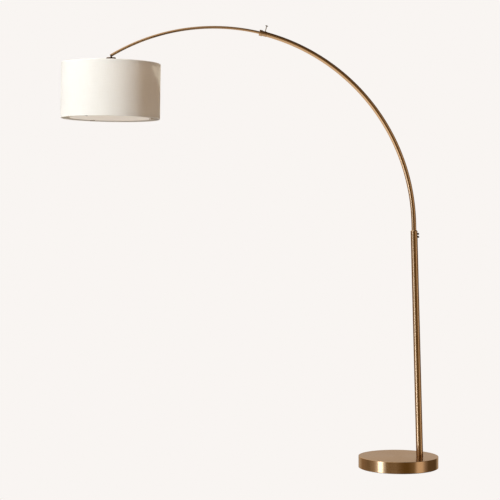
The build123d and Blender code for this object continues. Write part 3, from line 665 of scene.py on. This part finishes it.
def joined(first, *others):
    """Puts several bmeshes into the first."""
    for other in others:
        held = bpy.data.meshes.new("held")
        other.to_mesh(held)
        other.free()
        first.from_mesh(held)
        bpy.data.meshes.remove(held)
    return first


tee_axis = Vector(joints["tee_screw_turn"]["axis"])
tee_place = arc_place(atan2(tee_axis.z, tee_axis.x)) @ Matrix.Rotation(pi / 2, 4, "Y")
tip = local_size("tee_screw", tee_place)[0]
STEM = 2.1 * MM
SEAT = SKIRT + 2.0 * MM
BAR_HEIGHT = SKIRT + 26.0 * MM
BAR = 2.0 * MM
BAR_HALF = 7.5 * MM
BAR_TURN = 40         # degrees round the stem
TEE_HEAD = 2.7 * MM
head_top = BAR_HEIGHT + 2.5 * MM
stem = turned([
    (0, tip, 0), (SHANK, tip, 0.4 * MM), (SHANK, SEAT, 0.3 * MM), (STEM, SEAT + 0.3 * MM, 0.1 * MM),
    (STEM, BAR_HEIGHT - 4 * MM, 0.5 * MM), (TEE_HEAD, BAR_HEIGHT - 3 * MM, 0.4 * MM),
    (TEE_HEAD, head_top, 0.8 * MM), (0, head_top, 0),
], steps=40, segments=3)
bar = turned([(0, -BAR_HALF, 0), (BAR, -BAR_HALF, 1.4 * MM), (BAR, BAR_HALF, 1.4 * MM),
              (0, BAR_HALF, 0)], steps=40)
bar.transform(Matrix.Translation((0, 0, BAR_HEIGHT)) @ Matrix.Rotation(radians(BAR_TURN), 4, "Z")
              @ Matrix.Rotation(pi / 2, 4, "Y"))
tee_steel = moulded("tee_steel", (0.30, 0.26, 0.22), 0.30, uneven=0.15, scale=90, depth=0.02,
                    metallic=1.0)
finished("tee_handle", joined(stem, bar), tee_steel, "tee_screw_handle",
         ["tee_screw"], tee_place)

# ---- Upper arc ----------------------------------------------------------------------------
# A thinner tube rolled to the same radius slides inside the lower one on a nylon shoe. Its
# end is brazed on to the forked tip that the lamp head hangs in.

upper_start, upper_end = arc_span("upper_arc_tube")
upper_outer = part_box("upper_arc_tube")[1].y
finished("upper_arc", bent(pipe(upper_outer, upper_outer - TUBE_WALL, 0,
                                (upper_end - upper_start) * arc_radius, 0.25 * MM, steps=48),
                           upper_start),
         arc_brass, "upper_arc", ["upper_arc_tube"])
keeps_shape(nylon, "slide_shoe")
softened("forked_tip", "tip_fork", arc_brass, "upper_arc", 0.3 * MM)

# ---- Tip swivel ---------------------------------------------------------------------------
# A flat tang hangs in the fork between nylon washers, on a screw with a domed nut. Its stub
# carries the cup, and the head tilts about the screw.

HEAD_TILT = 0.8       # degrees, the right side hangs lower
head_place = Matrix.Translation(pivot) @ Matrix.Rotation(radians(HEAD_TILT), 4, "Y")
head_bronze = brushed("head_bronze", BRONZE, BRONZE_WORN, turned_grain, head_place,
                      roughness=0.24, pull=0.4)
softened("hanging_tang", "swivel_tang", head_bronze, "lamp_head", 0.2 * MM)
keeps_shape(head_bronze, "pivot_screw", "pivot_nut")
keeps_shape(zinc, "stub_nut")

# ---- Cup and lampholder -------------------------------------------------------------------
# A spun cup hides the top of a moulded lampholder. The shade's ring is held up against the
# cup by a ribbed ring nut on the lampholder's threaded skirt.

cup_low, cup_high, cup_bore, cup_outer = local_size("socket_cup", head_place)
CUP_WALL = 1.0 * MM
CUP_ROUND = 3.0 * MM
finished("spun_cup", turned([
    (cup_bore, cup_high, 0.2 * MM), (cup_outer, cup_high, CUP_ROUND),
    (cup_outer, cup_low, 0.35 * MM), (cup_outer - CUP_WALL, cup_low, 0.2 * MM),
    (cup_outer - CUP_WALL, cup_high - CUP_WALL, CUP_ROUND - CUP_WALL),
    (cup_bore, cup_high - CUP_WALL, 0.1 * MM),
], steps=96), head_bronze, "lamp_head", ["socket_cup"], head_place)

phenolic = moulded("phenolic", (0.045, 0.033, 0.028), 0.28, uneven=0.15, scale=60, depth=0.02)
holder_low, holder_high, holder_bore, skirt = local_size("lampholder", head_place)
barrel = skirt - 0.7 * MM
cavity = barrel - 2.0 * MM
roof = holder_high - 8.0 * MM
skirt_high = cup_low + 6.0 * MM
THREAD_PITCH = 2.0 * MM
THREAD_DEPTH = 0.5 * MM
threads = int((cup_low - holder_low) / THREAD_PITCH)
finished("moulded_lampholder", turned([
    (holder_bore, holder_high, 0.3 * MM), (barrel, holder_high, 1.5 * MM),
    (barrel, skirt_high, 0.2 * MM), (skirt, skirt_high, 0.3 * MM), (skirt, cup_low, 0.1 * MM),
    *[(skirt - (n % 2) * THREAD_DEPTH, cup_low - (n + 1) * THREAD_PITCH / 2, 0.12 * MM)
      for n in range(2 * threads - 2)],
    (skirt, holder_low, 0.5 * MM), (cavity, holder_low, 0.3 * MM), (cavity, roof, 1.0 * MM),
    (holder_bore, roof, 0.2 * MM),
], steps=96, segments=3), phenolic, "lamp_head", ["lampholder"], head_place)

nut_low, nut_high, nut_bore, nut_outer = local_size("ring_nut", head_place)
NUT_RIBS = 30
bm = turned([
    (nut_bore, nut_low, 0.3 * MM), (nut_outer, nut_low, 0.8 * MM),
    (nut_outer, nut_high, 0.5 * MM), (nut_bore, nut_high, 0.3 * MM),
], steps=4 * NUT_RIBS, segments=3)
finished("ribbed_ring_nut", fluted(bm, nut_outer, 0.6 * MM, nut_low + 0.7 * MM,
                                   nut_high - 0.4 * MM, every=4),
         phenolic, "lamp_head", ["ring_nut"], head_place)

plated = moulded("stamped_brass", (0.72, 0.56, 0.30), 0.25, uneven=0.12, scale=90, depth=0.02,
                 metallic=1.0)
SCREW_PITCH = 3.6 * MM
SCREW_DEPTH = 0.8 * MM


def screw_thread(radius, wall, low, high, steps=48, points=8):
    """A thin sleeve with a rolled thread in it, cut square at both ends."""
    bm = bmesh.new()
    wave = [bm.verts.new((radius - SCREW_DEPTH / 2 * (1 - cos(2 * pi * n / points)), 0,
                          low + SCREW_PITCH * (n / points - 1))) for n in range(points + 1)]
    for a, b in zip(wave, wave[1:]):
        bm.edges.new((a, b))
    turns = int((high - low) / SCREW_PITCH) + 2
    bmesh.ops.spin(bm, geom=bm.verts[:] + bm.edges[:], cent=(0, 0, 0), axis=(0, 0, 1),
                   dvec=(0, 0, SCREW_PITCH / steps), angle=2 * pi * turns,
                   steps=steps * turns, use_merge=False)
    bmesh.ops.remove_doubles(bm, verts=bm.verts[:], dist=SCREW_PITCH / 400)
    for level, side in ((low, -1), (high, 1)):
        bmesh.ops.bisect_plane(bm, geom=bm.verts[:] + bm.edges[:] + bm.faces[:], dist=1e-7,
                               plane_co=(0, 0, level), plane_no=(0, 0, side), clear_outer=True)
    bmesh.ops.recalc_face_normals(bm, faces=bm.faces[:])
    bmesh.ops.solidify(bm, geom=bm.faces[:], thickness=wall)
    return bm


shell_low, shell_high, _, shell_outer = local_size("thread_shell", head_place)
finished("rolled_thread_shell", screw_thread(shell_outer, 0.35 * MM, shell_low, shell_high),
         plated, "lamp_head", ["thread_shell"], head_place, sharp=60)
keeps_shape(plated, "centre_contact")

# ---- Bulb ---------------------------------------------------------------------------------
# A frosted bulb hangs cap up. Its glass is blown in one piece with a smooth neck, and its
# aluminium cap is rolled to the lampholder's thread, with a soldered tip on an insulator.

cap_low, cap_tip, _, cap_outer = local_size("bulb_cap", head_place)
cap_top = cap_tip - 2.0 * MM
crown_edge = cap_outer - 0.9 * MM
nickel = moulded("cap_aluminium", (0.74, 0.73, 0.70), 0.22, uneven=0.08, scale=90, depth=0.02,
                 metallic=1.0)
crown = turned([
    (0, cap_tip, 0), (5.0 * MM, cap_tip, 0.8 * MM), (5.4 * MM, cap_top, 0.3 * MM),
    (9.0 * MM, cap_top - 0.4 * MM, 0.5 * MM), (crown_edge, cap_top - 3.0 * MM, 0.5 * MM),
    (crown_edge, cap_top - 4.0 * MM, 0), (0, cap_top - 4.0 * MM, 0),
], steps=48, segments=3)
sleeve = screw_thread(cap_outer, 0.3 * MM, cap_low, cap_top - 3.0 * MM)
finished("bulb_screw_cap", joined(crown, sleeve), nickel, "lamp_head",
         ["bulb_cap"], head_place, sharp=60)

glass_low, glass_high, _, globe = local_size("bulb_glass", head_place)
neck = cap_outer + 0.8 * MM
globe_height = glass_low + globe
GLASS = 1.0 * MM
NECK_POINTS = 14
BOWL_POINTS = 16


def pear(inset):
    """The bulb's outline from the neck down to the pole, set in by the glass."""
    fall = glass_high - globe_height
    shoulder = [(neck - inset + (globe - neck) * (1 - cos(pi * n / NECK_POINTS)) / 2,
                 glass_high - fall * n / NECK_POINTS, 0) for n in range(NECK_POINTS)]
    bowl = [((globe - inset) * cos(pi / 2 * n / BOWL_POINTS),
             globe_height - (globe - inset) * sin(pi / 2 * n / BOWL_POINTS), 0)
            for n in range(BOWL_POINTS)]
    return shoulder + bowl + [(0, globe_height - (globe - inset), 0)]


frosted = moulded("frosted_glass", (0.93, 0.92, 0.89), 0.42, uneven=0.04, scale=120, depth=0.01)
FROSTING = 0.55       # the share that goes through the glass
frosted_shader = frosted.node_tree.nodes["Principled BSDF"]
frosted_shader.inputs["Transmission Weight"].default_value = FROSTING
finished("blown_bulb", turned(pear(0) + pear(GLASS)[::-1], steps=96), frosted, "lamp_head",
         ["bulb_glass"], head_place)

# ---- Shade wires --------------------------------------------------------------------------
# A plated wire ring at each end keeps the drum round. Three arms spot-welded to the top ring
# meet at a flat fitter ring, which sits under the cup. All of it is enamelled white.

enamel = moulded("wire_enamel", (0.78, 0.76, 0.71), 0.35, uneven=0.06, scale=80, depth=0.03)
wire_low, wire_high, wire_in, wire_out = local_size("bottom_ring", head_place)
wire = (wire_high - wire_low) / 2
ring = (wire_in + wire_out) / 2
shade_low, shade_high, _, shade_outer = local_size("shade_fabric", head_place)
top_wire = shade_high - (wire_low - shade_low) - wire


def wire_ring(height):
    return turned([(ring - wire, height - wire, wire), (ring + wire, height - wire, wire),
                   (ring + wire, height + wire, wire), (ring - wire, height + wire, wire)],
                  steps=240, segments=4)


finished("bottom_wire_ring", wire_ring(wire_low + wire), enamel, "lamp_head",
         ["bottom_ring"], head_place)


def repeated(bm, count, first=0.0):
    """Repeats a piece evenly round the axis, the first at an angle in degrees."""
    bmesh.ops.rotate(bm, verts=bm.verts[:], matrix=Matrix.Rotation(radians(first), 3, "Z"))
    one = bm.verts[:] + bm.edges[:] + bm.faces[:]
    for n in range(1, count):
        copy = bmesh.ops.duplicate(bm, geom=one)["geom"]
        bmesh.ops.rotate(bm, verts=[g for g in copy if isinstance(g, bmesh.types.BMVert)],
                         matrix=Matrix.Rotation(2 * pi * n / count, 3, "Z"))
    return bm


ARMS = 3
FIRST_ARM = 90        # degrees, which is straight back
ARM = 2.0 * MM
fitter_bore = skirt + 0.05 * MM
fitter_outer = nut_outer + 1.5 * MM
FITTER = 2.0 * MM
fitter = turned([
    (fitter_bore, cup_low - FITTER, 0.3 * MM), (fitter_outer, cup_low - FITTER, 0.7 * MM),
    (fitter_outer, cup_low, 0.7 * MM), (fitter_bore, cup_low, 0.3 * MM),
], steps=96, segments=3)
arm_foot = Vector((fitter_outer, 0, cup_low - FITTER / 2))
arm_run = Vector((ring, 0, top_wire)) - arm_foot
arm = turned([(0, 0, 0), (ARM, 0, 0.9 * MM), (ARM, arm_run.length, 0.9 * MM),
              (0, arm_run.length, 0)], steps=24, longest=30 * MM, segments=3)
arm.transform(Matrix.Translation(arm_foot) @ arm_run.to_track_quat("Z", "Y").to_matrix().to_4x4())
weld = turned([(0, -ARM, 0), (1.5 * ARM, -ARM, ARM), (1.5 * ARM, ARM, ARM), (0, ARM, 0)],
              steps=24, segments=4)
weld.transform(Matrix.Translation((ring - ARM, 0, top_wire - 0.6 * MM)))
spider = joined(repeated(joined(arm, weld), ARMS, FIRST_ARM), fitter, wire_ring(top_wire))
finished("wire_spider", spider, enamel, "lamp_head", ["shade_spider"], head_place)

# ---- Shade --------------------------------------------------------------------------------
# White linen is laminated to clear styrene, rolled into a drum and glued along a lap at the
# back. Both edges are turned in over the wire rings and tucked under, with a narrow hem.


def cloth_map(bm, radius):
    """Lays out the cloth flat: u round the drum and v up it, in metres."""
    layer = bm.loops.layers.uv.new("cloth")
    for face in bm.faces:
        start = atan2(face.loops[0].vert.co.y, face.loops[0].vert.co.x)
        for loop in face.loops:
            turn = atan2(loop.vert.co.y, loop.vert.co.x) - start
            turn = (turn + pi) % (2 * pi) - pi
            loop[layer].uv = ((start + turn) * radius, loop.vert.co.z)
    return bm


THREAD = 0.9 * MM
RELIEF = 0.10 * MM
SLUB_LONG = 18.0      # the scale of a thick place along its thread, and across it
SLUB_FINE = 1100.0


def woven(name, colour, slub):
    """Plain-weave linen: crossing threads with thick and thin places."""
    material, tree, shader, _ = finish_nodes(name, colour, 0.9)
    flat = node(tree, "UVMap", uv_map="cloth").outputs[0]
    u, v, _ = node(tree, "SeparateXYZ", [(0, flat)]).outputs
    warp = maths(tree, "SINE", maths(tree, "MULTIPLY", u, 2 * pi / THREAD))
    weft = maths(tree, "SINE", maths(tree, "MULTIPLY", v, 2 * pi / THREAD))
    cross = maths(tree, "MULTIPLY", warp, weft)
    long_u = noise(tree, combine(tree, maths(tree, "MULTIPLY", u, SLUB_LONG),
                                 maths(tree, "MULTIPLY", v, SLUB_FINE), 0.0), 1.0, 2.0)
    long_v = noise(tree, combine(tree, maths(tree, "MULTIPLY", u, SLUB_FINE),
                                 maths(tree, "MULTIPLY", v, SLUB_LONG), 3.0), 1.0, 2.0)
    threads = maths(tree, "ADD", long_u, long_v)
    height = maths(tree, "MULTIPLY_ADD", cross, 0.25, maths(tree, "MULTIPLY", threads, 0.9))
    tone = maths(tree, "MULTIPLY", threads, 0.5)
    tree.links.new(between(tree, tone, slub, colour), shader.inputs["Base Color"])
    bump = node(tree, "Bump", [("Height", height), ("Strength", 0.55), ("Distance", RELIEF)])
    tree.links.new(bump.outputs[0], shader.inputs["Normal"])
    shader.inputs["Sheen Weight"].default_value = 0.15
    shader.inputs["Sheen Roughness"].default_value = 0.6
    return material


def translucent(material, share):
    """Lets a share of the light through a thin skin."""
    tree = material.node_tree
    shader = tree.nodes["Principled BSDF"]
    output = tree.nodes["Material Output"]
    glow = node(tree, "BsdfTranslucent", [("Color", shader.inputs["Base Color"].default_value)])
    if shader.inputs["Base Color"].is_linked:
        tree.links.new(shader.inputs["Base Color"].links[0].from_socket, glow.inputs["Color"])
    mix = node(tree, "MixShader", [(0, share), (1, shader.outputs[0]), (2, glow.outputs[0])])
    tree.links.new(mix.outputs[0], output.inputs["Surface"])
    return material


CLOTH = 0.6 * MM
HEM = 12.0 * MM
FOLD = 0.35 * MM      # how far the folded cloth stands past the wire rings
linen = translucent(woven("white_linen", (0.87, 0.85, 0.81), (0.80, 0.77, 0.72)), 0.70)
tuck = wire_in - CLOTH
top = shade_high + FOLD
foot = shade_low - FOLD
drum = turned([
    (shade_outer, foot, 2.6 * MM), (shade_outer, top, 2.6 * MM), (tuck, top, 2.2 * MM),
    (tuck, top - HEM, 0.15 * MM), (tuck + CLOTH, top - HEM, 0.15 * MM),
    (tuck + CLOTH, top - CLOTH, 1.6 * MM), (shade_outer - CLOTH, top - CLOTH, 2.0 * MM),
    (shade_outer - CLOTH, foot + CLOTH, 2.0 * MM), (tuck + CLOTH, foot + CLOTH, 1.6 * MM),
    (tuck + CLOTH, foot + HEM, 0.15 * MM), (tuck, foot + HEM, 0.15 * MM),
    (tuck, foot, 2.2 * MM),
], steps=360, longest=30 * MM, segments=4)
SEAM = 1.6            # half the lap's width, in degrees
LAP = 0.45 * MM
for v in drum.verts:
    beside = abs(degrees(atan2(v.co.y, v.co.x)) - 90)
    if beside < SEAM and hypot(v.co.x, v.co.y) > shade_outer - 0.1 * MM:
        v.co.xy *= 1 + LAP / shade_outer
shade = finished("linen_shade", cloth_map(drum, shade_outer), linen, "lamp_head",
                 ["shade_fabric"], head_place)

styrene = translucent(moulded("styrene_film", (0.84, 0.80, 0.72), 0.5, uneven=0.05, scale=60,
                              depth=0.02), 0.85)
_, _, liner_in, liner_out = local_size("shade_liner", head_place)
SHORT = 4.0 * MM      # the liner stops this far inside the folded edges
liner_face = liner_out - 0.05 * MM
finished("shade_lining", turned([
    (liner_face, shade_low + SHORT, 0.1 * MM), (liner_face, shade_high - SHORT, 0.1 * MM),
    (liner_in, shade_high - SHORT, 0.1 * MM), (liner_in, shade_low + SHORT, 0.1 * MM),
], steps=240, longest=60 * MM, segments=2), styrene, "lamp_head",
    ["shade_liner"], head_place)

# ---- Diffuser -----------------------------------------------------------------------------
# A disc of opal acrylic lies on three flat tabs that hook on the bottom ring. A domed rivet
# holds it to each of them.

opal = translucent(moulded("opal_acrylic", (0.86, 0.80, 0.70), 0.32, uneven=0.03, scale=30,
                           depth=0.02), 0.35)
softened("opal_diffuser", "diffuser", opal, "lamp_head", 0.6 * MM)
softened("diffuser_tabs", "diffuser_clips", head_bronze, "lamp_head", 0.2 * MM)
pin_low, pin_high, pin_in, _ = local_size("diffuser_pins", head_place)
RIVET_HEAD = 4.0 * MM
RIVET = 2.0 * MM
dome_low = pin_high - 2.0 * MM
rivet = turned([
    (0, pin_low, 0), (RIVET, pin_low, 0.3 * MM), (RIVET, dome_low, 0.1 * MM),
    (RIVET_HEAD, dome_low, 0.3 * MM), (RIVET_HEAD, pin_high, 1.7 * MM), (0, pin_high, 0),
], steps=40)
bmesh.ops.translate(rivet, verts=rivet.verts[:], vec=(pin_in + RIVET_HEAD, 0, 0))
finished("diffuser_rivets", repeated(rivet, ARMS), head_bronze, "lamp_head",
         ["diffuser_pins"], head_place)

# ---- Leads --------------------------------------------------------------------------------
# A round two-core lead in a dark vinyl jacket runs from the gland up through the post and
# both tubes to the lampholder. It is held all the way, and keeps the frame's shape.

vinyl = moulded("vinyl_jacket", (0.06, 0.055, 0.05), 0.5, uneven=0.12, scale=90, depth=0.04)
keeps_shape(vinyl, "stand_lead", "lower_arc_lead", "upper_arc_lead", "head_lead")
